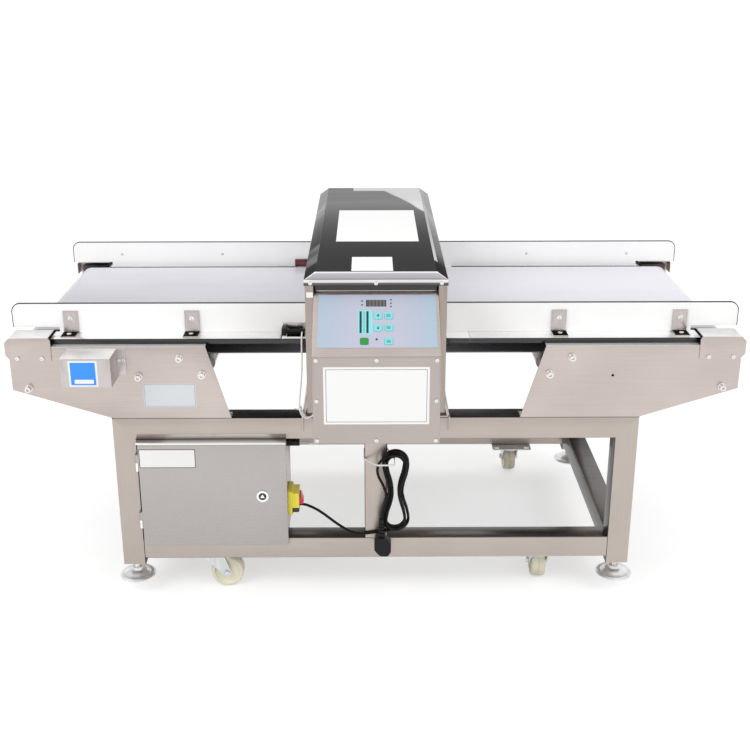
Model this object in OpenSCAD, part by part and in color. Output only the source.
// Food metal detector: a belt conveyor that carries packs through a sensing head,
// on a square-tube stand with casters and levelling feet. Millimetres.
// X runs along the belt, Y away from the operator, Z up from the floor.

/* [Stand] */
// length of the stand over its legs
stand_len = 1140; // [900:10:1400]
// how far the stand reaches past each edge of the belt
frame_side = 80; // [76:1:110]
// outside of the square tube
tube = 50; // [30:1:60]
// wall of the square tube
tube_wall = 2; // [1.5:0.5:4]
// height of the caster from floor to its mounting face
caster_h = 91; // [85:1:130]
// how far the legs reach below the lower beams
leg_drop = 16; // [5:1:40]
// height of the top face of the stand
stand_top = 433; // [380:1:600]
// thickness of the welded plate in the foot of a leg
leg_plate_t = 6; // [4:1:12]

/* [Casters] */
// wheel diameter
wheel_d = 75; // [60:1:90]
// wheel tread width
wheel_w = 32; // [20:1:34]
// axle radius
axle_r = 4; // [3:0.5:6]
// distance from swivel to axle
trail = 36; // [25:1:45]
// distance of the swivels from the middle along the belt
caster_x = 377; // [250:1:450]
// distance of the swivels inside the stand's front and rear faces
caster_in = 44; // [35:1:60]
// length of the mounting plate
caster_plate_l = 105; // [80:1:120]
// width of the mounting plate
caster_plate_w = 78; // [60:1:90]
// radius of the swivel pin
kingpin_r = 6; // [5:0.5:8]

/* [Levelling feet] */
// pad diameter
pad_d = 80; // [50:1:100]
// thread radius
stem_r = 6; // [5:0.5:10]
// gap between the pad and the floor when the machine stands on its casters
pad_lift = 36; // [5:1:45]

/* [Conveyor] */
// height of the side plates above the stand
side_h = 163; // [130:1:220]
// thickness of the side plates
side_t = 2; // [1.5:0.5:4]
// distance of the side plates' ends from the middle
side_reach = 775; // [700:1:900]
// height of the outer lower corner above the stand
side_rise = 66; // [30:1:90]
// belt width
belt_w = 500; // [300:5:500]
// belt thickness
belt_t = 2; // [1:0.5:4]
// distance of the end rollers inside the side plates' ends
roller_in = 44; // [40:1:60]
// end roller radius
roller_r = 26; // [20:1:30]
// end roller shaft radius
shaft_r = 10; // [8:0.5:12]
// return roller radius
return_r = 19; // [15:1:22]
// return roller axle radius
return_axle_r = 6; // [5:0.5:8]
// thickness of the metal bed sheet
bed_t = 2; // [1:0.5:3]
// half length of the plastic middle piece of the bed
bed_mid = 199.7; // [180:0.1:240]

/* [Guard rails] */
// gap between the belt's edge and a board
rail_side = 14; // [6:1:18]
// board thickness
rail_t = 4; // [3:0.5:6]
// height of the boards above the bed
rail_h = 66; // [40:1:90]
// how far the boards reach past the side plates
rail_over = 5; // [0:1:20]

/* [Sensing head] */
// casing length along the belt
head_l = 285; // [220:1:320]
// how far the casing stands out past the front and rear of the stand
head_over = 83; // [60:1:110]
// underside of the casing above the stand
head_lift = 46; // [30:1:60]
// casing height without its hood
head_h = 285; // [250:1:340]
// casing sheet
sheet = 2; // [1:0.5:3]
// gap between a board and the tunnel's side
tunnel_side = 15; // [12:1:25]
// inside height of the tunnel
tunnel_h = 168; // [120:1:180]
// wall of the tunnel lining
liner_t = 4; // [2:0.5:6]
// height of the hood above the casing
hood_h = 19; // [10:1:30]

/* [Panel] */
// panel width
panel_w = 250; // [200:1:270]
// how far the panel box stands out from the casing
panel_out = 115; // [90:1:140]
// height of the panel box's front
panel_h = 183; // [150:1:220]
// length of the sloping face
slope_l = 160; // [130:5:160]
// key size
key_s = 16; // [12:0.5:18]
// key travel
key_travel = 0.8; // [0.4:0.1:1]
// thickness of the keypad skin
skin_t = 0.6; // [0.3:0.1:1]

/* [Cabinet] */
// cabinet width
cab_w = 320; // [260:1:360]
// cabinet depth
cab_d = 129; // [110:1:160]
// cabinet and door sheet
cab_sheet = 1.5; // [1:0.5:2]
// door depth
door_d = 14.7; // [12:0.1:20]
// hinge pin radius
hinge_pin_r = 2; // [1.5:0.5:3]

/* [Mains cord] */
// cord diameter
cord_d = 6; // [5:0.5:6.5]
// turns in the hank
hank_turns = 5.375; // [2.375:1:5.375]
// step between turns that lie side by side
hank_step = 7.8; // [7.6:0.1:9]
// step between layers
hank_layer = 7.2; // [7:0.1:9]

/* [Hidden] */

$fn = 48;
// clearance of a pin in its bore, of a face from its seat, and of round parts from each other
fit = 0.05;
seat = 0.3;
loose = 0.5;

// stand
stand_w = belt_w + 2 * frame_side;
fx = stand_len / 2;
fy = stand_w / 2;
leg_x = fx - tube / 2;
leg_y = fy - tube / 2;
leg_z = caster_h - leg_drop;
low_z = caster_h + tube;
bay_top = stand_top - tube;
caster_y = fy - caster_in;
axle_z = wheel_d / 2;

// conveyor
bed_z = stand_top + side_h;
side_foot_x = fx - 259;
side_top_x = fx - 210;
roller_x = side_reach - roller_in;
return_x = side_top_x + 10;
crossbar_x = side_top_x + 56;
plate_y = fy - side_t;
belt_z = bed_z + 13;
slider_z = belt_z - belt_t - seat;
margin_z = bed_z + 12;
roller_z = belt_z - belt_t - seat - roller_r;
belt_r = roller_r + seat + belt_t;
return_z = roller_z - roller_r - seat - belt_t - seat - return_r;
rail_y = belt_w / 2 + rail_side;
rail_reach = side_reach + rail_over;
slider_y = belt_w / 2 + 12;
margin_y = fy - 18;

// head
head_z = stand_top + head_lift;
head_top = head_z + head_h;
hood_top = head_top + hood_h;
head_y = fy + head_over;
hood_y = head_y + 2;
tunnel_z = bed_z - 50;
tunnel_top = tunnel_z + tunnel_h;
tunnel_y = rail_y + rail_t + tunnel_side;
duct_y = tunnel_y + liner_t;

// panel box
panel_y = -head_y - panel_out;
panel_z = head_z - 17;
slope_z = panel_z + panel_h;
slope_dy = slope_l * 0.8;
slope_dz = slope_l * 0.6;
cover_y = panel_y - sheet;
gland_x = -panel_w / 2 + 20;
gland_y = panel_y + 60;
head_screw = 2.5;

// cabinet
cab_x1 = -fx + tube + 3;
cab_x2 = cab_x1 + cab_w;
cab_y1 = -fy + 1;
cab_y2 = cab_y1 + cab_d;
door_x1 = -fx + tube + 3.5;
door_x2 = cab_x2 + 2;
door_y = -fy - seat - door_d;
hinge_x = door_x1 - 4.5;
hinge_y = -fy - 4.5;
lock_x = cab_x2 - 52;
lock_z = 253.5;
cab_gland_y = -fy + 30;

// the front reaches further than the back, so the object is moved to the middle of its box
front_reach = -cover_y + head_screw;
back_reach = hood_y + head_screw;
shift_y = (front_reach - back_reach) / 2;

// moves a piece from stand coordinates to the object's own frame
module place() {
    translate([0, shift_y, 0]) children();
}

// an outline drawn as (x, z), standing between y0 and y1
module plate_xz(y0, y1) {
    translate([0, y1, 0]) rotate([90, 0, 0]) linear_extrude(y1 - y0) children();
}

// an outline drawn as (y, z), standing between x0 and x1
module plate_yz(x0, x1) {
    translate([x0, 0, 0]) rotate([90, 0, 90]) linear_extrude(x1 - x0) children();
}

// a box from its lowest and highest corners
module block(low, high) {
    translate(low) cube(high - low);
}

// a round bar along Y from y0 to y1
module bar_y(x, z, r, y0, y1) {
    translate([x, y1, z]) rotate([90, 0, 0]) cylinder(r = r, h = y1 - y0);
}

// a round bar along X from x0 to x1
module bar_x(y, z, r, x0, x1) {
    translate([x0, y, z]) rotate([0, 90, 0]) cylinder(r = r, h = x1 - x0);
}

// the piece and its mirror image in X, in Y, or in both
module both_x() {
    children();
    mirror([1, 0, 0]) children();
}

module both_y() {
    children();
    mirror([0, 1, 0]) children();
}

module four() {
    both_x() both_y() children();
}

// Stand: square tubes, mitred at the top corners of the front and rear frames

// wedge that cuts a top corner of a front frame along its mitre
module mitre(y0, y1, beam_side) {
    plate_xz(y0, y1) polygon(beam_side
        ? [[fx - tube - 1, bay_top - 1], [fx + 1, stand_top + 1], [fx - tube - 1, stand_top + 1]]
        : [[fx - tube - 1, bay_top - 1], [fx + 1, bay_top - 1], [fx + 1, stand_top + 1]]);
}

module frame_legs() {
    color("silver") place() {
        four() {
            difference() {
                block([fx - tube, fy - tube, leg_z], [fx, fy, stand_top]);
                block([fx - tube + tube_wall, fy - tube + tube_wall, leg_z - 1],
                    [fx - tube_wall, fy - tube_wall, stand_top - tube_wall]);
                mitre(fy - tube - 1, fy + 1, true);
            }
            difference() {
                block([fx - tube + tube_wall, fy - tube + tube_wall, leg_z],
                    [fx - tube_wall, fy - tube_wall, leg_z + leg_plate_t]);
                translate([leg_x, leg_y, leg_z - 1]) cylinder(r = stem_r + fit, h = leg_plate_t + 2);
            }
        }
        both_y() difference() {
            block([-tube / 2, fy - tube, low_z], [tube / 2, fy, bay_top]);
            block([-tube / 2 + tube_wall, fy - tube + tube_wall, low_z - 1],
                [tube / 2 - tube_wall, fy - tube_wall, bay_top + 1]);
        }
    }
}

module frame_beams() {
    color("silver") place() {
        both_y() difference() {
            block([-fx, fy - tube, bay_top], [fx, fy, stand_top]);
            block([-fx + tube_wall, fy - tube + tube_wall, bay_top + tube_wall],
                [fx - tube_wall, fy - tube_wall, stand_top - tube_wall]);
            both_x() mitre(fy - tube - 1, fy + 1, false);
        }
        both_y() difference() {
            block([-fx + tube, fy - tube, caster_h], [fx - tube, fy, low_z]);
            block([-fx, fy - tube + tube_wall, caster_h + tube_wall],
                [fx, fy - tube_wall, low_z - tube_wall]);
            both_x() for (s = [-1, 1]) caster_slot(s, -1, 0);
        }
        both_x() for (z = [caster_h, bay_top]) difference() {
            block([fx - tube, -fy + tube, z], [fx, fy - tube, z + tube]);
            block([fx - tube + tube_wall, -fy, z + tube_wall], [fx - tube_wall, fy, z + tube - tube_wall]);
        }
    }
}

// Casters: a plate with its swivel pin, a fork and a solid wheel

slot_x = caster_plate_l / 2 - 12;
slot_y = caster_plate_w / 2 - 10;

// bolt slot of a caster plate, long enough to cut the plate and the beam above it
module caster_slot(sx, sy, grow) {
    translate([caster_x + sx * slot_x, caster_y - sy * slot_y, caster_h - 10]) {
        for (x = [-3, 3]) translate([x, 0, 0]) cylinder(r = 4.3 + grow, h = 20);
        translate([-3, -4.3 - grow, 0]) cube([6, 8.6 + 2 * grow, 20]);
    }
}

module caster_plates() {
    color("gainsboro") place() four() {
        difference() {
            block([caster_x - caster_plate_l / 2, caster_y - caster_plate_w / 2, caster_h - 3],
                [caster_x + caster_plate_l / 2, caster_y + caster_plate_w / 2, caster_h]);
            for (sx = [-1, 1], sy = [-1, 1]) caster_slot(sx, sy, 0);
        }
        translate([caster_x, caster_y, 0]) {
            translate([0, 0, caster_h - 7.5]) cylinder(r = 21, h = 5);
            translate([0, 0, caster_h - 16]) cylinder(r = kingpin_r, h = 14);
            translate([0, 0, caster_h - 16]) cylinder(r = kingpin_r + 3, h = 3.9);
        }
    }
}

// fork with its axle bolt, drawn at the swivel, trailing towards +X
module fork() {
    crown_z = caster_h - 11.8;
    arm_in = wheel_w / 2 + 1.7;
    arm_out = arm_in + 2.5;
    color("lightsteelblue") {
        difference() {
            union() {
                translate([0, 0, crown_z]) cylinder(r = 24, h = 4);
                block([-14, -arm_out, crown_z], [26, arm_out, crown_z + 4]);
                both_y() plate_xz(arm_in, arm_out) {
                    polygon([[-14, crown_z + 4], [-14, crown_z - 4], [trail - 7, axle_z - 7],
                        [trail, axle_z - 10], [trail + 10, axle_z], [trail - 6, crown_z + 4]]);
                    translate([trail, axle_z]) circle(r = 10);
                }
            }
            translate([0, 0, crown_z - 1]) cylinder(r = kingpin_r + fit, h = 6);
            bar_y(trail, axle_z, axle_r + 0.1, -arm_out - 1, arm_out + 1);
        }
        bar_y(trail, axle_z, axle_r, -arm_out - 2, arm_out + 2);
        for (y = [arm_out + 0.1, -arm_out - 5.1]) translate([trail, y + 5, axle_z]) rotate([90, 0, 0])
            cylinder(r = axle_r + 3, h = 5, $fn = 6);
    }
}

// wheel at its own axle, with its hub, side recess and the groove round the tread
module wheel() {
    r = wheel_d / 2;
    w = wheel_w / 2 - 3;
    color("ivory") translate([trail, 0, axle_z]) rotate([90, 0, 0]) rotate_extrude() polygon([
        [axle_r + fit, -w - 4.4], [10, -w - 4.4], [11, -w + 1], [r - 10.5, -w + 1],
        [r - 8.5, -w - 2.5], [r - 6, -w - 3], [r - 3, -w - 2.6], [r - 0.9, -w],
        [r, -w + 5], [r, -1.2], [r - 1.5, -0.6], [r - 1.5, 0.6], [r, 1.2], [r, w - 5],
        [r - 0.9, w], [r - 3, w + 2.6], [r - 6, w + 3], [r - 8.5, w + 2.5],
        [r - 10.5, w - 1], [11, w - 1], [10, w + 4.4], [axle_r + fit, w + 4.4]]);
}

// the four casters stand where their last move left them
module caster(sx, sy, turn) {
    place() translate([sx * caster_x, sy * caster_y, 0]) rotate([0, 0, turn]) children();
}

// levelling foot: domed pad and threaded stem that runs in the plate of the leg
module foot(sx, sy) {
    p = pad_d / 2;
    color("dimgray") place() translate([sx * leg_x, sy * leg_y, pad_lift]) {
        rotate_extrude() polygon([[0, 0], [p, 0], [p, 3], [p - 4, 5.5], [p - 10, 6], [p - 13, 7.5],
            [p - 20, 12], [stem_r + 6, 14], [stem_r + 5, 20], [0, 20]]);
        cylinder(r = stem_r, h = 89);
    }
}

// Conveyor: side plates, bed, rollers, belt and its drive

box_x = -side_reach + 123.5;
box_w = 104;
EAR_SCREWS = [box_x + box_w + 4.5, box_x + box_w + 13.5];
ear_z = bed_z - 29;

module side_outline() {
    polygon([[side_top_x, bed_z], [side_foot_x, stand_top], [fx - 3, stand_top],
        [side_reach, stand_top + side_rise], [side_reach, bed_z]]);
}

module side_plates() {
    slope_run = side_reach - fx + 3;
    color("silver") place() difference() {
        both_x() both_y() {
            difference() {
                plate_xz(plate_y, fy) side_outline();
                bar_y(return_x, return_z, return_axle_r + 0.1, plate_y - 1, fy + 1);
                for (x = [crossbar_x, side_reach - 35]) bar_y(x, x == crossbar_x ? bed_z - 25 : bed_z - 93,
                    3.2, plate_y - 1, fy + 1);
                for (x = [roller_x - 26, roller_x + 26]) bar_y(x, bed_z - 24.5, 2.7, plate_y - 1, fy + 1);
                bar_y(tie_x, motor_z + 32, 3.2, plate_y - 1, fy + 1);
            }
            block([side_top_x, fy - 24, bed_z - 2], [roller_x - 46, plate_y, bed_z]);
            block([side_foot_x, fy - 30, stand_top], [fx - 3, plate_y, stand_top + 2]);
            plate_xz(fy - 25, plate_y) polygon([[fx - 3, stand_top], [side_reach, stand_top + side_rise],
                [side_reach, stand_top + side_rise + 2], [fx - 3, stand_top + 2]]);
        }
        for (x = EAR_SCREWS) bar_y(x, ear_z, 2.2, -fy - 1, -plate_y + 1);
    }
}

module end_covers() {
    inner = roller_x - 46;
    outer = side_reach + 7;
    top = bed_z + 20.5;
    color("silver") place() four() {
        difference() {
            plate_xz(fy, fy + 2) polygon([[inner, bed_z - 30], [outer - 10, bed_z - 30],
                [outer, bed_z - 18], [outer, bed_z + 10], [outer - 10, top], [inner + 4, top],
                [inner, top - 6.5]]);
            for (x = [roller_x - 26, roller_x + 26]) bar_y(x, bed_z - 24.5, 2.7, fy - 1, fy + 3);
        }
        block([inner + 5, fy - 55, top - 2], [outer - 10, fy, top]);
        block([outer - 2, fy - 30, bed_z - 18], [outer, fy, bed_z + 10]);
    }
}

module bed_plates() {
    inner = bed_mid + seat;
    outer = roller_x - 41;
    bar_top = slider_z - bed_t - seat;
    color("gainsboro") place() both_x() {
        block([inner, -slider_y, slider_z - bed_t], [outer, slider_y, slider_z]);
        both_y() {
            difference() {
                block([inner, slider_y, margin_z - bed_t], [outer, margin_y, margin_z]);
                for (x = bracket_x) translate([x, rail_y + rail_t + 24, margin_z - 4]) cylinder(r = 3.2, h = 6);
            }
            block([inner, margin_y - bed_t, bed_z], [outer, margin_y, margin_z]);
        }
        difference() {
            union() {
                block([crossbar_x - 15, -plate_y, bed_z - 36], [crossbar_x + 15, plate_y, bed_z - 4]);
                block([crossbar_x - 15, -belt_w / 2, bed_z - 4], [crossbar_x + 15, belt_w / 2, bar_top]);
            }
            block([crossbar_x - 12, -plate_y + 3, bed_z - 33], [crossbar_x + 12, plate_y - 3, bed_z - 7]);
            for (y = [-plate_y - 1, plate_y - 4]) bar_y(crossbar_x, bed_z - 25, 3.2, y, y + 5);
        }
    }
}

// closed belt outline between inner radius and roller centres
module belt_loop(r) {
    translate([-roller_x, roller_z]) circle(r = r);
    translate([roller_x, roller_z]) circle(r = r);
    translate([-roller_x, roller_z - r]) square([2 * roller_x, 2 * r]);
}

module conveyor_belt() {
    color("lavender") place() plate_xz(-belt_w / 2, belt_w / 2) difference() {
        belt_loop(belt_r);
        belt_loop(belt_r - belt_t);
    }
}

// end roller with its shaft journals
module end_roller(x) {
    color("silver") place() {
        bar_y(x, roller_z, roller_r, -belt_w / 2 - 2, belt_w / 2 + 2);
        bar_y(x, roller_z, shaft_r, -plate_y + 2, plate_y - 2);
    }
}

pulley_y = belt_w / 2 + 6;

module drive_roller() {
    end_roller(-roller_x);
    color("dimgray") place() bar_y(-roller_x, roller_z, roller_r, pulley_y, pulley_y + 20);
}

module tail_roller() {
    end_roller(roller_x);
}

module return_roller(x) {
    color("gainsboro") place() difference() {
        bar_y(x, return_z, return_r, -belt_w / 2 - 5, belt_w / 2 + 5);
        bar_y(x, return_z, return_axle_r + fit, -belt_w / 2 - 6, belt_w / 2 + 6);
    }
}

module roller_bearings() {
    color("darkgray") place() four() difference() {
        block([roller_x - 32, fy - 47, roller_z - 25], [roller_x + 32, plate_y, roller_z + 25]);
        bar_y(roller_x, roller_z, shaft_r + fit, fy - 48, plate_y + 1);
        for (x = [roller_x - 26, roller_x + 26]) bar_y(x, bed_z - 24.5, 2.7, plate_y - 12, plate_y + 1);
    }
    color("silver") place() both_x() difference() {
        bar_y(return_x, return_z, return_axle_r, -fy, fy);
        both_y() bar_y(return_x, return_z, 3.1, fy - 14, fy + 1);
    }
}

motor_x = -roller_x + 171;
motor_y = pulley_y - 106;
tie_x = -motor_x - 55;
motor_z = stand_top + 64;
motor_r = 22;

module gear_motor() {
    shaft_y = pulley_y;
    color("slategray") place() {
        difference() {
            block([motor_x - 40, motor_y, motor_z - 47], [motor_x + 39.7, shaft_y - 16, motor_z + 47]);
            bar_y(motor_x, motor_z, 9 + fit, shaft_y - 60, shaft_y);
        }
        bar_y(motor_x, motor_z, 42, motor_y - 210, motor_y);
        bar_y(motor_x, motor_z, 39, motor_y - 212, motor_y - 210);
        bar_y(motor_x, motor_z, 43, motor_y - 240, motor_y - 212);
        block([motor_x - 18, motor_y - 150, motor_z + 30], [motor_x + 18, motor_y - 80, motor_z + 52]);
        difference() {
            block([-tie_x - 15, -plate_y, motor_z + 17], [-tie_x + 15, plate_y, motor_z + 47]);
            block([-tie_x - 12, -plate_y + 3, motor_z + 20], [-tie_x + 12, plate_y - 3, motor_z + 44]);
            for (y = [-plate_y - 1, plate_y - 4]) bar_y(-tie_x, motor_z + 32, 3.2, y, y + 5);
        }
    }
}

module motor_pulley() {
    color("dimgray") place() {
        bar_y(motor_x, motor_z, motor_r, pulley_y, pulley_y + 20);
        bar_y(motor_x, motor_z, 9, pulley_y - 56, pulley_y);
    }
}

// points of an arc round c from angle a0 to a1
function arc_points(c, r, a0, a1, n) = [for (i = [0:n]) let (a = a0 + (a1 - a0) * i / n)
    c + r * [cos(a), sin(a)]];

// timing belt outline round the two pulleys, grown by g
module drive_outline(g) {
    far = [-roller_x, roller_z];
    near = [motor_x, motor_z];
    d = near - far;
    a = atan2(d[1], d[0]);
    tilt = acos((roller_r - motor_r) / norm(d));
    polygon(concat(arc_points(far, roller_r + g, a + tilt, a + 360 - tilt, 24),
        arc_points(near, motor_r + g, a - tilt, a + tilt, 20)));
}

module drive_belt() {
    color("black") place() plate_xz(pulley_y + 2, pulley_y + 18) difference() {
        drive_outline(seat + 3);
        drive_outline(seat);
    }
}

// Guard rails and what stands on them

bracket_x = [crossbar_x - 22, roller_x - 77];
sensor_x = -head_l / 2 - 53.5;

module guard_rails() {
    top = margin_z + rail_h;
    color("white") place() both_y() difference() {
        plate_xz(rail_y, rail_y + rail_t) difference() {
            union() {
                translate([-rail_reach, margin_z]) square([2 * rail_reach, rail_h - 20]);
                translate([-rail_reach + 20, margin_z]) square([2 * rail_reach - 40, rail_h]);
                for (s = [-1, 1]) translate([s * (rail_reach - 20), top - 20]) circle(r = 20);
            }
            for (s = [-1, 1]) translate([s > 0 ? roller_x - 51 : -rail_reach - 1, margin_z - 1])
                square([rail_reach - roller_x + 52, 13]);
        }
        for (x = bracket_x, s = [-1, 1]) bar_y(s * x, margin_z + 32.6, 3.2, rail_y - 1, rail_y + rail_t + 1);
        bar_y(sensor_x, margin_z + 10, 5, rail_y - 1, rail_y + rail_t + 1);
    }
}

module rail_bracket(x, w) {
    back = rail_y + rail_t;
    difference() {
        union() {
            block([x - w / 2, back, margin_z], [x + w / 2, back + 3, margin_z + 49]);
            block([x - w / 2, back, margin_z], [x + w / 2, fy - 24, margin_z + 3]);
        }
        bar_y(x, margin_z + 32.6, 3.2, back - 1, back + 4);
        translate([x, back + 24, margin_z - 1]) cylinder(r = 3.2, h = 5);
    }
}

module rail_brackets() {
    back = -rail_y - rail_t;
    color("silver") place() {
        both_y() both_x() for (x = bracket_x) rail_bracket(x, 32);
        difference() {
            union() {
                block([sensor_x - 4, back - 3, margin_z], [sensor_x + 45, back, margin_z + 21]);
                block([sensor_x + 7, back - 36, margin_z], [sensor_x + 45, back, margin_z + 1.5]);
            }
            bar_y(sensor_x, margin_z + 10, 6, back - 4, back + 1);
        }
    }
}

// photo sensor lying on the bed's margin and the reflector opposite it
module photo_sensors() {
    back = -rail_y - rail_t;
    zc = margin_z + 8;
    color("dimgray") place() {
        block([sensor_x - 5, back - 30, margin_z + 1.5], [sensor_x + 5, back - 3, margin_z + 15.5]);
        bar_x(back - 21, zc, 4.5, sensor_x + 5, sensor_x + 30);
        bar_x(back - 21, zc, 6, sensor_x + 30, sensor_x + 45);
    }
    color("darkred") place() {
        block([sensor_x - 10, rail_y - 8, margin_z + 2], [sensor_x + 26, rail_y, margin_z + 20]);
    }
}

// Sensing head: casing, hood, tunnel lining, coils and its two feet

HOOD_SCREWS = [-head_l / 2 + 11.5, 0, head_l / 2 - 11.5];

module head_casing() {
    x = head_l / 2;
    y = duct_y + 0.3;
    color("silver") place() difference() {
        block([-x, -head_y, head_z], [x, head_y, head_top]);
        block([-x + sheet, -head_y + sheet, head_z + sheet], [x - sheet, head_y - sheet, head_top + 1]);
        block([-x - 1, -y, tunnel_z - liner_t - 0.3], [x + 1, y, tunnel_top + liner_t + 0.3]);
        block([-panel_w / 2 - 0.3, -head_y - 1, head_top - 55], [panel_w / 2 + 0.3, -head_y + sheet + 1,
            head_top + 1]);
        block([-60, -head_y - 1, head_z + 40], [60, -head_y + sheet + 1, head_z + 120]);
        both_y() for (x = HOOD_SCREWS) bar_y(x, head_top - 4.5, 2.2, head_y - sheet - 1, head_y + 1);
    }
}

module hood_outline(g) {
    x = head_l / 2 + 2 - g;
    polygon([[-x, head_top - 10], [-x, head_top + 2], [-x + 23.5, hood_top - g], [x - 23.5, hood_top - g],
        [x, head_top + 2], [x, head_top - 10]]);
}

module head_hood() {
    color("dimgray") place() {
        difference() {
            plate_xz(-hood_y, hood_y) hood_outline(0);
            plate_xz(-hood_y + 1.7, hood_y - 1.7) hood_outline(1.7);
            block([-head_l / 2 - 0.3, -head_y - 0.3, head_top - 11],
                [head_l / 2 + 0.3, head_y + 0.3, head_top + 0.3]);
            both_y() for (x = HOOD_SCREWS) bar_y(x, head_top - 4.5, 2.2, head_y - 1, hood_y + 1);
        }
    }
}

module tunnel_liner() {
    x = head_l / 2;
    ty = tunnel_y;
    color("whitesmoke") place() {
        difference() {
            union() {
                block([-x, -duct_y, tunnel_z - liner_t], [x, duct_y, tunnel_top + liner_t]);
                both_x() block([x, -duct_y - 10, tunnel_z - liner_t - 10],
                    [x + 3, duct_y + 10, tunnel_top + liner_t + 10]);
            }
            block([-x - 4, -ty, tunnel_z], [x + 4, ty, tunnel_top]);
        }
        both_y() block([-x - 3, ty - 8, bed_z - 6], [x + 3, ty, bed_z]);
    }
    // middle of the bed, in plastic because it lies inside the coils
    color("white") place() {
        block([-bed_mid, -slider_y, slider_z - bed_t], [bed_mid, slider_y, slider_z]);
        both_y() {
            block([-bed_mid, slider_y, bed_z], [bed_mid, ty - seat, margin_z]);
            both_x() block([x + 3.5, ty - seat, bed_z], [bed_mid, margin_y, margin_z]);
        }
    }
}

// one transmitter coil between two receiver coils, wound round the tunnel
module search_coils() {
    inner_y = duct_y + 0.3;
    z0 = tunnel_z - liner_t - 0.3;
    z1 = tunnel_top + liner_t + 0.3;
    color("peru") place() for (c = [[-70, 10], [0, 16], [70, 10]]) difference() {
        block([c[0] - c[1] / 2, -inner_y - 14, z0 - 14], [c[0] + c[1] / 2, inner_y + 14, z1 + 14]);
        block([c[0] - c[1], -inner_y, z0], [c[0] + c[1], inner_y, z1]);
    }
}

module head_feet() {
    x = head_l / 2;
    color("silver") place() both_x() {
        plate_xz(-fy, fy) polygon([[x - 27.5, head_z - 4], [x - 0.5, head_z - 4], [x + 10.5, stand_top + 4],
            [x - 12.5, stand_top + 4], [x - 12.5, stand_top], [x + 17.5, stand_top], [x + 6.5, head_z],
            [x - 27.5, head_z]]);
        both_y() block([x + 13.5, fy, stand_top - 30], [x + 17.5, fy + 6, stand_top + 4]);
    }
}

// Panel box on the front of the head, with its keypad

// a piece drawn flat on the sloping face: X along it, Y up the slope, Z out of it
module on_slope() {
    place() translate([0, panel_y, slope_z]) rotate([atan2(3, 4), 0, 0]) children();
}

// key places on the slope
KEYS = [[3.7, 95.3], [3.6, 66.5], [25, 95.7], [24.7, 67], [24.3, 35.1], [-23.5, 35.1]];
LAMPS = [[-28, 131.7], [-28, 122.3], [29.4, 134.8], [29.4, 126.5], [29.4, 118.4]];
DISPLAY = [0, 126.4, 40, 16];

// outline of a key grown by g
module key_outline(g) {
    r = 3;
    s = key_s / 2 + g - r;
    for (x = [-s, s], y = [-s, s]) translate([x, y]) circle(r = r);
    square([2 * s + 2 * r, 2 * s], center = true);
    square([2 * s, 2 * s + 2 * r], center = true);
}

// holes for the keys, lamps and display through a sheet from z0 to z1
module slope_holes(z0, z1, g) {
    for (k = KEYS) translate([k[0], k[1], z0]) linear_extrude(z1 - z0) key_outline(g);
    for (l = LAMPS) translate([l[0], l[1], z0]) cylinder(r = 1.6 + g, h = z1 - z0, $fn = 24);
    translate([DISPLAY[0] - DISPLAY[2] / 2 - g, DISPLAY[1] - DISPLAY[3] / 2 - g, z0])
        cube([DISPLAY[2] + 2 * g, DISPLAY[3] + 2 * g, z1 - z0]);
}

module panel_box() {
    x = panel_w / 2;
    face = -head_y - 0.3;
    top_y = panel_y + slope_dy;
    top_z = slope_z + slope_dz;
    color("silver") {
        place() {
            both_x() plate_yz(x - sheet, x) polygon([[panel_y, panel_z], [panel_y, slope_z], [top_y, top_z],
                [top_y, head_top - 36.7], [face, head_top - 36.7], [face, panel_z]]);
            difference() {
                block([-x, panel_y, panel_z], [x, panel_y + sheet, slope_z]);
                block([-x + 12, panel_y - 1, panel_z + 12], [x - 12, panel_y + sheet + 1, slope_z - 12]);
                cover_holes(1.5);
            }
            difference() {
                block([-x, panel_y, panel_z], [x, face, panel_z + sheet]);
                translate([gland_x, gland_y, panel_z - 1]) cylinder(r = 6.1, h = sheet + 2);
            }
            // folded strip under the hood's front lip
            block([-x, top_y - sheet, top_z - sheet], [x, top_y, head_top]);
            block([-x, -head_y, head_top - sheet], [x, top_y, head_top]);
            difference() {
                block([-x, -head_y, head_top - 9], [x, -head_y + sheet, head_top]);
                bar_y(0, head_top - 4.5, 2.2, -head_y - 1, -head_y + sheet + 1);
            }
        }
        on_slope() difference() {
            translate([-x, 0, -sheet]) cube([panel_w, slope_l, sheet]);
            slope_holes(-sheet - 1, 1, loose);
        }
    }
}

module panel_membrane() {
    color("lightsteelblue") on_slope() difference() {
        translate([-panel_w / 2 + 10, 20, 0]) cube([panel_w - 16, slope_l - 32.5, skin_t]);
        slope_holes(-1, skin_t + 1, 0.3);
    }
}

// circuit board with the display, the lamps and a switch under each key
module display_board() {
    color("darkgreen") on_slope() {
        translate([-70, 20, -9]) cube([140, 125, 1.6]);
        for (x = [-60, 60], y = [30, 138]) translate([x, y, -9]) cylinder(r = 3, h = 9 - sheet);
        for (k = KEYS) translate([k[0] - 4, k[1] - 4, -9]) cube([8, 8, 3.2]);
        for (l = LAMPS) translate([l[0], l[1], -9]) cylinder(r = 1.6, h = 9.9, $fn = 24);
        translate([DISPLAY[0] - DISPLAY[2] / 2, DISPLAY[1] - DISPLAY[3] / 2, -9])
            cube([DISPLAY[2], DISPLAY[3], 9.3]);
    }
}

module key(i) {
    color(i == 5 ? "seagreen" : "turquoise") on_slope() translate([KEYS[i][0], KEYS[i][1], 0]) {
        translate([0, 0, -sheet]) linear_extrude(sheet + 1.8) key_outline(0);
        translate([0, 0, -4.7]) cylinder(r = 3, h = 3);
    }
}

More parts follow.
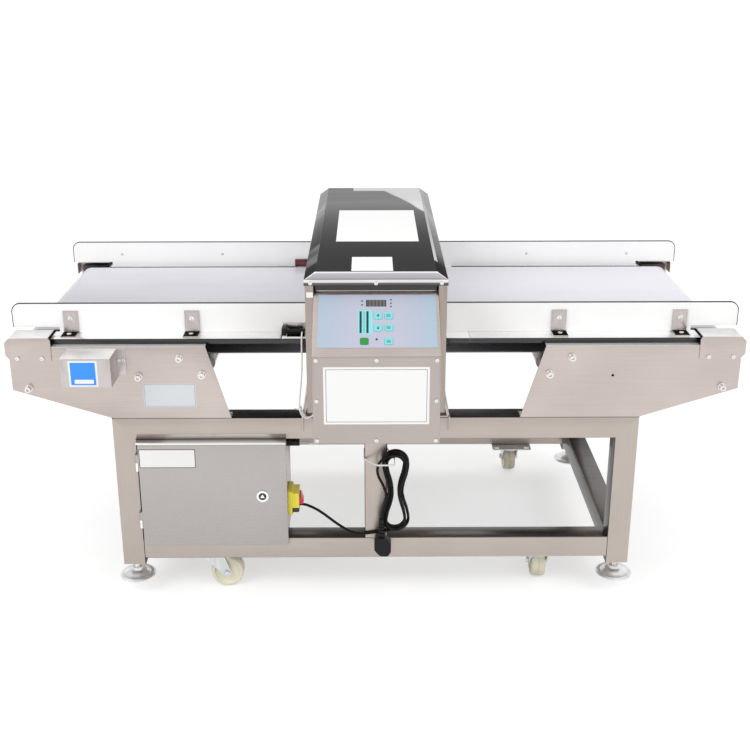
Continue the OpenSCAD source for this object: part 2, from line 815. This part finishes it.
COVER_SCREWS = [[-1, 1], [0, 1], [1, 1], [-1, 0], [1, 0], [-1, -1], [0, -1], [1, -1]];
cover_sx = panel_w / 2 - 7.7;
cover_sz = panel_h / 2 - 7;

module cover_holes(r) {
    for (s = COVER_SCREWS) bar_y(s[0] * cover_sx, panel_z + panel_h / 2 + s[1] * cover_sz, r,
        cover_y - 1, panel_y + sheet + 1);
}

module lower_cover() {
    color("gainsboro") place() difference() {
        block([-panel_w / 2, cover_y, panel_z], [panel_w / 2, panel_y, slope_z]);
        cover_holes(1.8);
    }
}

// Cabinet in the left bay

module cabinet_body() {
    s = cab_sheet;
    color("silver") place() {
        difference() {
            block([cab_x1, cab_y1, low_z], [cab_x2, cab_y2, bay_top]);
            block([cab_x1 + s, cab_y1 + s, low_z + s], [cab_x2 - s, cab_y2 - s, bay_top - s]);
            block([cab_x1 + 12, cab_y1 - 1, low_z + 12], [cab_x2 - 12, cab_y1 + s + 1, bay_top - 12]);
            bar_x(cab_gland_y, bay_top - 21, 6.1, cab_x2 - s - 1, cab_x2 + 1);
            bar_x(cab_gland_y, 220, 8, cab_x2 - s - 1, cab_x2 + 1);
        }
        plate_yz(cab_x1 - 1.5, door_x2) polygon([[-fy, bay_top + 12.6], [-fy, bay_top + 6],
            [-fy - 20, bay_top - 4.5], [-fy - 20, bay_top - 1]]);
    }
}

HINGES = [190, 330];

module cabinet_hinges() {
    color("gray") place() for (z = HINGES) {
        translate([hinge_x, hinge_y, z - 20]) cylinder(r = 4, h = 20);
        translate([hinge_x, hinge_y, z - 20]) cylinder(r = hinge_pin_r, h = 38);
        difference() {
            union() {
                block([hinge_x + 1.1, hinge_y, z - 20], [hinge_x + 4, cab_y1, z]);
                block([hinge_x + 1.1, -fy - 0.2, z - 20], [cab_x1 + 11, cab_y1, z + 20]);
            }
            translate([hinge_x, hinge_y, z - seat]) cylinder(r = 4 + seat, h = 21);
        }
    }
}

module cabinet_door() {
    s = cab_sheet;
    color("gainsboro") place() {
        difference() {
            block([door_x1, door_y, low_z - 11], [door_x2, -fy - seat, bay_top - 6]);
            block([door_x1 + s, door_y + s, low_z - 11 + s], [door_x2 - s, -fy, bay_top - 6 - s]);
            bar_y(lock_x, lock_z, 9 + fit, door_y - 1, door_y + s + 1);
        }
        for (z = HINGES) difference() {
            union() {
                translate([hinge_x, hinge_y, z + seat]) cylinder(r = 4, h = 19);
                block([hinge_x, hinge_y - 4, z + seat], [door_x1 + s, hinge_y - 1.5, z + seat + 19]);
            }
            translate([hinge_x, hinge_y, z]) cylinder(r = hinge_pin_r + fit, h = 21);
        }
    }
}

// quarter-turn lock, its cam upright when open
module door_lock() {
    color("dimgray") place() {
        bar_y(lock_x, lock_z, 13, door_y - 4, door_y);
        bar_y(lock_x, lock_z, 9, door_y, -fy + 1);
        bar_y(lock_x, lock_z, 5, -fy, -fy + 8);
        block([lock_x - 7, -fy + 5, lock_z - 7], [lock_x + 7, -fy + 8, lock_z + 46]);
    }
}

module inverter() {
    back = cab_y2 - cab_sheet;
    x = cab_x1 + 87;
    color("dimgray") place() {
        block([x, back - 80, low_z + 34], [x + 100, back, low_z + 184]);
        for (i = [0:7]) block([x + 6 + i * 12.5, back - 88, low_z + 44], [x + 9 + i * 12.5, back - 80, low_z + 119]);
    }
}

module cable_glands() {
    color("black") place() {
        bar_x(cab_gland_y, bay_top - 21, 6, cab_x2 - 6, cab_x2);
        difference() {
            bar_x(cab_gland_y, bay_top - 21, 8, cab_x2, cab_x2 + 29);
            bar_x(cab_gland_y, bay_top - 21, 2.3, cab_x2 + 20, cab_x2 + 30);
        }
        difference() {
            union() {
                translate([gland_x, gland_y, panel_z - 12]) cylinder(r = 8, h = 12);
                translate([gland_x, gland_y, panel_z - 1]) cylinder(r = 6, h = 8);
            }
            translate([gland_x, gland_y, panel_z - 13]) cylinder(r = 2.3, h = 6);
        }
    }
}

switch_x = cab_x2 + 26;
switch_y = cab_y1 + 31;
switch_z = 224;

module switch_box() {
    color("gold") place() {
        block([cab_x2, switch_y - 27, switch_z - 29], [cab_x2 + 11, switch_y + 27, switch_z + 29]);
        difference() {
            block([cab_x2 + 11, switch_y - 24, switch_z - 23], [switch_x, switch_y + 24, switch_z + 23]);
            block([switch_x - 10, switch_y - 14, switch_z - 10], [switch_x + 1, switch_y + 14, switch_z + 15]);
        }
        block([cab_x2 + 11, switch_y - 16, switch_z - 28], [switch_x - 2, switch_y + 16, switch_z - 23]);
    }
}

// wedge-shaped stop button
module stop_button() {
    color("crimson") place() plate_xz(switch_y - 14 + loose, switch_y + 14 - loose) polygon([
        [switch_x - 6, switch_z - 10 + loose], [switch_x + 9, switch_z - 9], [switch_x + 9, switch_z - 2],
        [switch_x + 3, switch_z + 14], [switch_x - 6, switch_z + 14.5]]);
}

// small control box on the left front side plate
module control_box() {
    box_y = -fy - 65;
    color("gainsboro") place() {
        block([box_x, box_y, bed_z - 67], [box_x + box_w, -fy, bed_z - 3]);
        difference() {
            block([box_x + box_w, -fy - 2, bed_z - 62], [box_x + box_w + 18.5, -fy, bed_z - 3]);
            for (x = EAR_SCREWS) bar_y(x, ear_z, 2.2, -fy - 3, -fy + 1);
        }
    }
    color("dodgerblue") place() block([box_x + 17.5, box_y - 0.5, bed_z - 64],
        [box_x + 76.5, box_y, bed_z - 8]);
}

// Cords: each is one tube swept along its route

function unit(v) = v / norm(v);

// direction of the route at each point
function along(p) = [for (i = [0:len(p) - 1])
    unit(p[min(i + 1, len(p) - 1)] - p[max(i - 1, 0)])];

// a side direction carried along the route without twist
function carried(t, start) = [for (i = 0, r = start; i < len(t);
    i = i + 1, r = i < len(t) ? unit(r - (r * t[i]) * t[i]) : r) unit(r - (r * t[i]) * t[i])];

module tube_along(p, r, sides) {
    t = along(p);
    u = carried(t, abs(t[0][2]) < 0.9 ? [0, 0, 1] : [0, 1, 0]);
    n = len(p);
    rings = [for (i = [0:n - 1], k = [0:sides - 1]) let (a = 360 * k / sides)
        p[i] + r * (cos(a) * u[i] + sin(a) * cross(t[i], u[i]))];
    walls = [for (i = [0:n - 2], k = [0:sides - 1]) let (a = i * sides + k,
        b = i * sides + (k + 1) % sides) each [[a, a + sides, b], [b, a + sides, b + sides]]];
    caps = [for (k = [1:sides - 2]) each [[0, k, k + 1],
        [(n - 1) * sides, (n - 1) * sides + k + 1, (n - 1) * sides + k]]];
    polyhedron(points = rings, faces = concat(walls, caps));
}

// hank: loops that spiral in and out in layers in front of the post
cord_r = cord_d / 2;
hank_x = 42;
hank_z = 263;
hank_run = 67.7;
hank_in = 18;
hank_out = hank_in + 1.5 * hank_step;
hank_pinch = 13;
hank_y = -fy - 4;
hank_start = -0.125;

function wave(t) = let (u = t - 3 * floor(t / 3)) t < 0 ? t : u < 1.5 ? u : 3 - u;
function smooth(s) = let (c = min(max(s, 0), 1)) c * c * (3 - 2 * c);
function half_w(t) = hank_out - hank_step * wave(t);
function depth(t) = hank_y - hank_layer * (smooth((t - 1.5) / 0.25) + smooth((t - 3) / 0.25)
    + smooth((t - 4.5) / 0.25));
function waist(z) = hank_pinch / 2 * (1 + cos(180 * z / hank_run));

// a point of the hank: right run up, over the top, left run down, round the bottom
function hank_point(t) = let (q = t - floor(t), w = half_w(t), y = depth(t),
    up = -hank_run + 8 * hank_run * q, down = hank_run - 8 * hank_run * (q - 0.5))
    q < 0.25 ? [hank_x + w - waist(up), y, hank_z + up]
    : q < 0.5 ? let (a = 720 * (q - 0.25)) [hank_x + w * cos(a), y, hank_z + hank_run + w * sin(a)]
    : q < 0.75 ? [hank_x - w + waist(down), y, hank_z + down]
    : let (a = 720 * (q - 0.75)) [hank_x - w * cos(a), y, hank_z - hank_run - w * sin(a)];

hank_loops = [for (i = [0:round((hank_turns - hank_start) * 24)]) hank_point(hank_start + i / 24)];

// points given in front of the stand's face, moved to where that face is
function from_face(p) = [for (q = p) [q[0], q[1] - fy, q[2]]];

// a route drawn out in X so that it runs from x0 to x1
function stretched(p, x0, x1) = let (a = p[0][0], b = p[len(p) - 1][0])
    [for (q = p) [x0 + (q[0] - a) * (x1 - x0) / (b - a), q[1], q[2]]];

// tail of the hank: swings out to the left and hangs down in front, into the plug
tail = from_face([[28, -26, 353.5], [14, -27, 346], [5, -28.5, 333.5], [3, -29.5, 320], [6, -30, 306],
    [12.5, -30, 292], [18.5, -30, 278], [22, -30, 264], [22, -30, 250], [19, -30, 236], [15, -30, 222],
    [12.5, -30, 211], [12, -30, 204]]);
hank_route = concat(hank_loops, tail);

// least distance between parts of the hank that don't follow each other, less the cord
function least_gap(p) = min([for (i = [0:len(p) - 8], j = [i + 7:len(p) - 1])
    let (a = p[j] - p[i], s = p[i + 1] - p[i], k = min(max(a * s / (s * s), 0), 1)) norm(a - k * s)]) - cord_d;
echo(least_gap_of_the_hank_to_itself = least_gap(hank_route));

// free stretch from the switch to the hank
lead = stretched(from_face([[-168, 31, 209], [-161, 31, 209], [-150, 29, 207], [-134, 25, 201],
    [-118, 20.5, 192.5], [-103, 16, 182.5], [-88, 12, 172], [-73, 8, 163], [-58, 3, 156.5],
    [-43, -1, 153.5], [-29, -3.5, 153], [-15, -4, 154.5], [-1, -4, 157], [13, -4, 159.2],
    [25, -4, 161]]), switch_x, 25);
lead_aim = unit(hank_loops[1] - hank_loops[0]);
lead_route = concat(lead, [hank_loops[0] - 7 * lead_aim, hank_loops[0]]);

module cord_lead() {
    color("black") place() tube_along(lead_route, cord_r, 10);
}

module cord_hank() {
    color("black") place() tube_along(hank_route, cord_r, 6);
}

// band that holds the hank to the post
cord_tie_z = 334;

module cord_tie() {
    back = -fy + tube + seat;
    front = tail[3][1] - cord_r - 1.5;
    color("white") place() translate([0, 0, cord_tie_z]) linear_extrude(3.6) difference() {
        polygon([[-tube / 2 - 1.8, back + 1.5], [tube / 2 + 1, back + 1.5], [41.4, -fy - 1],
            [41.4, front - 1.4], [1, front - 1.4], [-tube / 2 - 1.8, -fy - 1.4]]);
        polygon([[-tube / 2 - seat, back], [tube / 2 + seat, back], [40, -fy - 1.4], [40, front],
            [1.6, front], [-tube / 2 - seat, -fy - 0.6]]);
    }
}

// moulded plug hanging from the tail, its pins towards the post
module mains_plug() {
    end = tail[len(tail) - 1];
    color("black") place() translate([end[0], end[1], end[2] - 44]) {
        plate_xz(-13, 12) polygon([[-7, 1], [-13, -2], [-16, -11], [-16, -28], [-8, -39], [-1, -44],
            [14, -44], [21, -33], [21, -11], [9, -2], [7, 1]]);
        difference() {
            cylinder(r1 = cord_r + 4.5, r2 = cord_r + 2.5, h = 44);
            for (z = [10:7:36]) translate([0, 0, z]) difference() {
                translate([-12, -12, 0]) cube([24, 24, 2.5]);
                translate([0, 0, -1]) cylinder(r = cord_r + 1.4, h = 5);
            }
        }
        for (p = [[2.5, -14], [-5, -30], [10, -30]]) block([p[0] - 3, 12, p[1] - 1.5],
            [p[0] + 3, 28, p[1] + 1.5]);
    }
}

// thin cables of the photo sensor and of the head, from the stand's top front edge
sensor_cable = [[39, 34.95, 183], [39, 29, 183], [39, 20, 181.5], [39, 12.5, 177], [39, 8, 168],
    [39, 6, 152], [39, 4, 133], [38.5, 2, 114], [37.5, -1, 95], [36, -5, 76], [34, -9, 57],
    [32.5, -12, 39], [33.5, -14, 23], [38.5, -14.5, 11], [47, -14.5, 5.5], [56.5, -14.5, 8],
    [63.5, -13, 16], [68, -10, 26], [71, -7, 34.5], [72, -6, 41], [72, -6, 46]];
head_cable = [[-177, 30, -71], [-168, 30, -71], [-161, 29.5, -71], [-153, 26, -70.5],
    [-146, 18, -68.5], [-140.5, 8, -65.5], [-136, -3, -61.5], [-132, -13, -55.5], [-128, -22, -47],
    [-124, -31, -36.5], [-120, -43, -25], [-116, -59, -14], [-112, -78, -6], [-108.5, -98, -1],
    [-106, -116, 2], [-105, -130, 6], [-105, -136.5, 11.5], [-105, -138, 17], [-105, -138, 22]];

module head_cables() {
    color("white") place() {
        translate([sensor_x, -fy, stand_top]) tube_along(sensor_cable, 1.8, 8);
        translate([0, -fy, stand_top]) tube_along(stretched(head_cable, cab_x2 + 20, gland_x), 1.8, 8);
    }
}

// Fasteners

// screw along Z: head above zero, shank below
module screw(head_r, head_h, shank_r, shank_l, sides = 32) {
    difference() {
        cylinder(r = head_r, h = head_h, $fn = sides);
        if (sides > 6) translate([0, 0, head_h * 0.45]) cylinder(r = head_r * 0.5, h = head_h, $fn = 6);
    }
    translate([0, 0, -shank_l]) cylinder(r = shank_r, h = shank_l + 0.5, $fn = 24);
}

// cap screw on a plain washer: both above zero, shank below
module cap_screw(head_r, head_h, shank_l) {
    translate([0, 0, 2]) screw(head_r, head_h - 2, 3, shank_l + 2);
    cylinder(r = head_r + 1.8, h = 2);
}

module fasteners() {
    color("lightgray") place() {
        for (s = COVER_SCREWS) translate([s[0] * cover_sx, cover_y, panel_z + panel_h / 2 + s[1] * cover_sz])
            rotate([90, 0, 0]) screw(4, head_screw, 1.4, 2 * sheet + 3);
        for (x = HOOD_SCREWS) both_y() translate([x, -hood_y, head_top - 4.5]) rotate([90, 0, 0])
            screw(4, head_screw, 2, 6);
        both_y() {
            both_x() {
                translate([crossbar_x, -fy, bed_z - 25]) rotate([90, 0, 0]) cap_screw(6.5, 12, side_t + 4);
                translate([return_x, -fy, return_z]) rotate([90, 0, 0]) cap_screw(7, 11, 12);
                translate([side_reach - 35, -fy, bed_z - 93]) rotate([90, 0, 0]) cap_screw(6.5, 12, side_t + 3);
                for (x = [roller_x - 26, roller_x + 26]) translate([x, -fy - 2, bed_z - 24.5])
                    rotate([90, 0, 0]) screw(4.5, 3, 2.6, side_t + 9);
                for (x = bracket_x) {
                    translate([x, -rail_y - rail_t - 3, margin_z + 32.6]) rotate([90, 0, 0])
                        screw(5.5, 3, 3, rail_t + 3);
                    translate([x, -rail_y - rail_t - 24, margin_z + 3]) screw(5, 2.5, 3, 6);
                }
                translate([leg_x, -leg_y, leg_z - 9]) difference() {
                    cylinder(r = stem_r + 5, h = 9, $fn = 6);
                    translate([0, 0, -1]) cylinder(r = stem_r + 0.3, h = 11);
                }
                for (s = [-1, 1]) translate([caster_x + s * slot_x, -caster_y - slot_y, caster_h - 3])
                    rotate([180, 0, 0]) screw(6.5, 4, 4, 3 + tube_wall + 4, 6);
            }
            translate([-tie_x, -fy, motor_z + 32]) rotate([90, 0, 0]) cap_screw(6.5, 12, side_t + 4);
        }
        for (x = EAR_SCREWS) translate([x, -fy - 2, ear_z]) rotate([90, 0, 0]) screw(3.6, 2, 2, 6);
    }
}

// the named pieces: feet, casters, rollers and keys
module foot_front_left() { foot(-1, -1); }
module foot_front_right() { foot(1, -1); }
module foot_rear_left() { foot(-1, 1); }
module foot_rear_right() { foot(1, 1); }
module fork_front_left() { caster(-1, -1, 0) fork(); }
module fork_front_right() { caster(1, -1, 90) fork(); }
module fork_rear_left() { caster(-1, 1, 0) fork(); }
module fork_rear_right() { caster(1, 1, 90) fork(); }
module wheel_front_left() { caster(-1, -1, 0) wheel(); }
module wheel_front_right() { caster(1, -1, 90) wheel(); }
module wheel_rear_left() { caster(-1, 1, 0) wheel(); }
module wheel_rear_right() { caster(1, 1, 90) wheel(); }
module return_roller_left() { return_roller(-return_x); }
module return_roller_right() { return_roller(return_x); }
module key_up() { key(0); }
module key_down() { key(1); }
module key_menu() { key(2); }
module key_back() { key(3); }
module key_enter() { key(4); }
module key_start() { key(5); }

frame_legs();
frame_beams();
caster_plates();
side_plates();
end_covers();
bed_plates();
conveyor_belt();
guard_rails();
rail_brackets();
roller_bearings();
gear_motor();
drive_belt();
head_casing();
head_hood();
tunnel_liner();
search_coils();
head_feet();
panel_box();
panel_membrane();
display_board();
lower_cover();
cabinet_body();
cabinet_hinges();
inverter();
cable_glands();
switch_box();
control_box();
photo_sensors();
head_cables();
cord_lead();
cord_hank();
cord_tie();
mains_plug();
fasteners();
foot_front_left();
foot_front_right();
foot_rear_left();
foot_rear_right();
fork_front_left();
fork_front_right();
fork_rear_left();
fork_rear_right();
wheel_front_left();
wheel_front_right();
wheel_rear_left();
wheel_rear_right();
drive_roller();
tail_roller();
return_roller_left();
return_roller_right();
motor_pulley();
key_up();
key_down();
key_menu();
key_back();
key_enter();
key_start();
cabinet_door();
door_lock();
stop_button();
